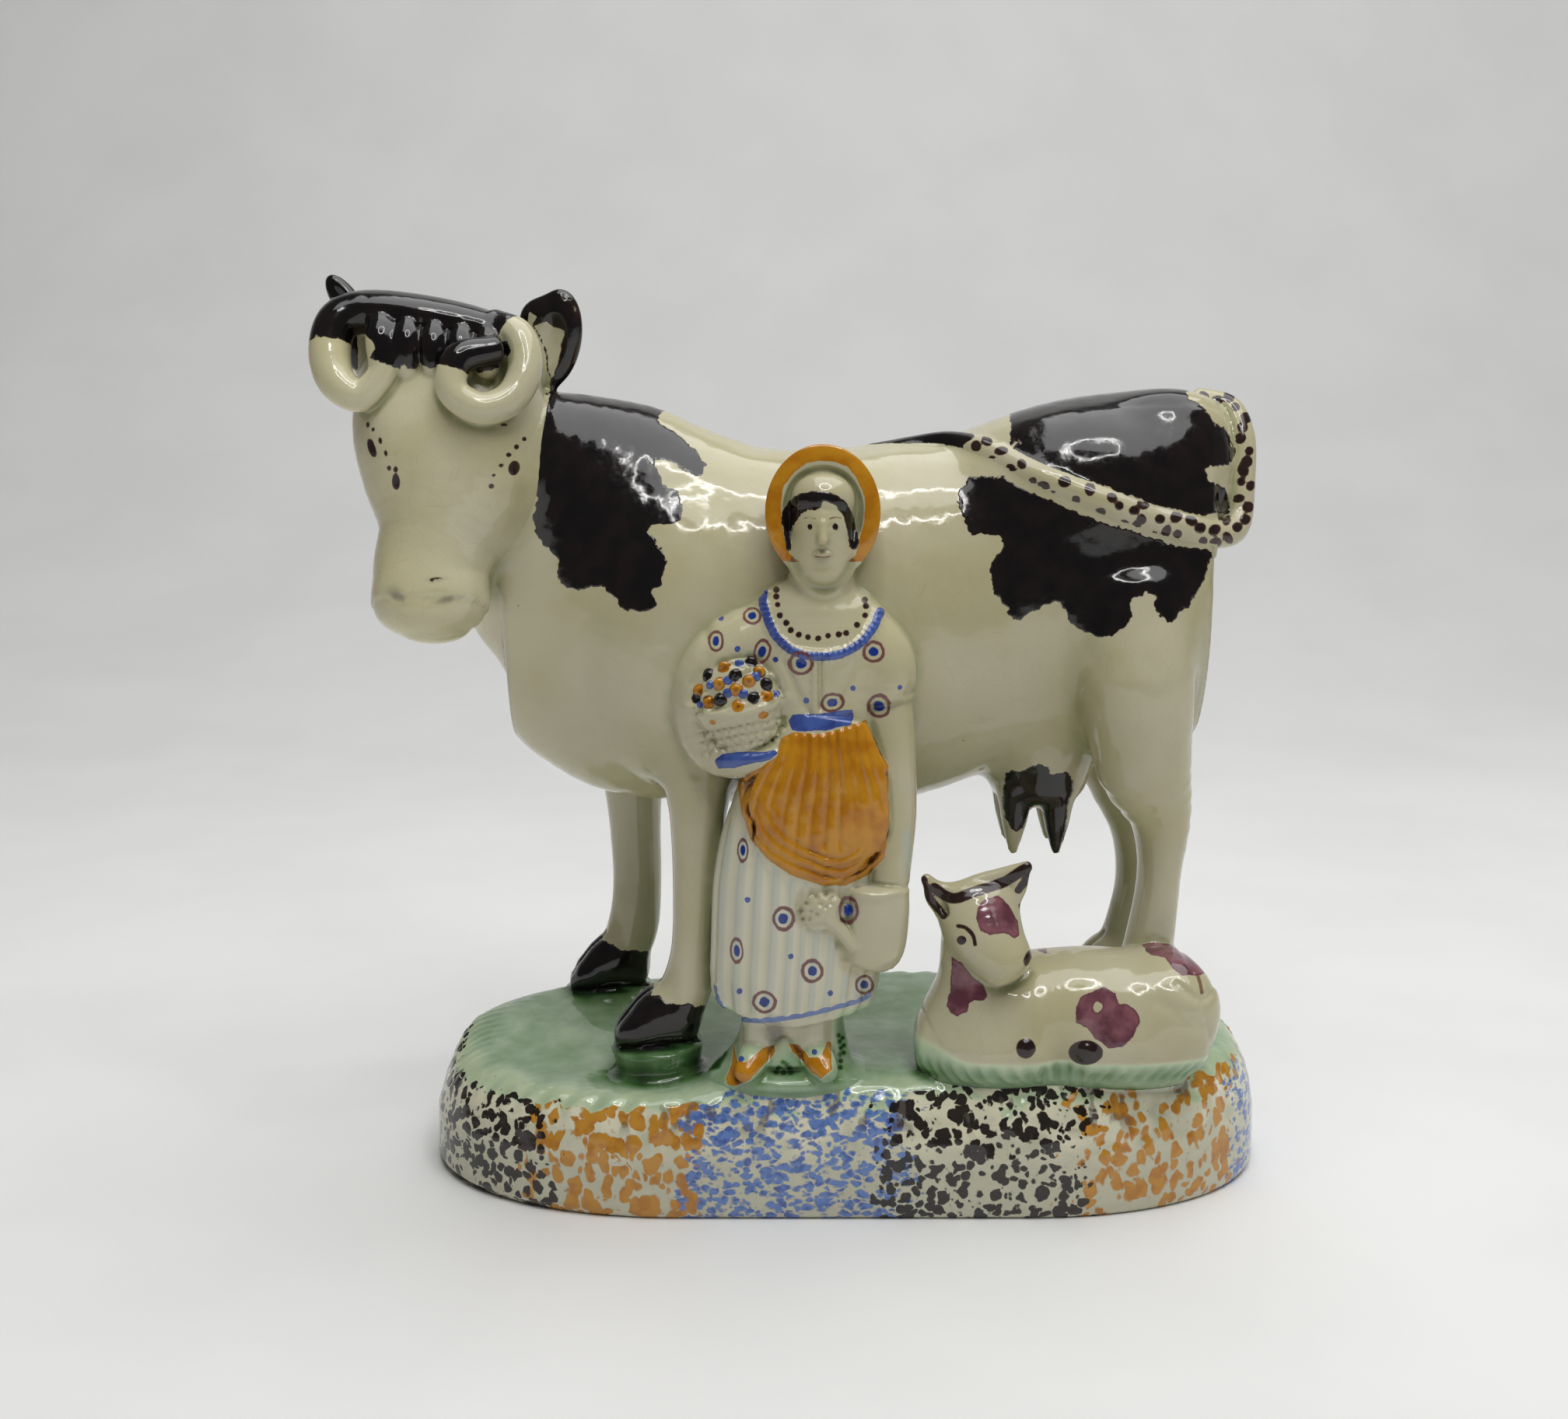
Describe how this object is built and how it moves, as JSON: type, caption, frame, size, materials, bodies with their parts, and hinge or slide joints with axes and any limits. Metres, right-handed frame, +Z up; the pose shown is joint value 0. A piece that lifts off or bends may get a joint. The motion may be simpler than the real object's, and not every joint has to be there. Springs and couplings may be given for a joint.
{
  "type": "prattware figure group",
  "caption": "Painted pearlware ornament of a standing cow with curled horns, a milkmaid with basket and watering can, and a lying calf on an oblong sponged base",
  "frame": {"origin": "centre of the base's underside", "axes": "+X from the cow's head end to its rump, +Y from the side with the milkmaid to the far side, +Z up"},
  "size_m": [0.1423, 0.0581, 0.1374],
  "materials": {
    "glaze": "glossy cream lead glaze over coloured underglaze paint"
  },
  "bodies": {
    "root": {"cow_group": "glaze"}
  },
  "joints": []
}
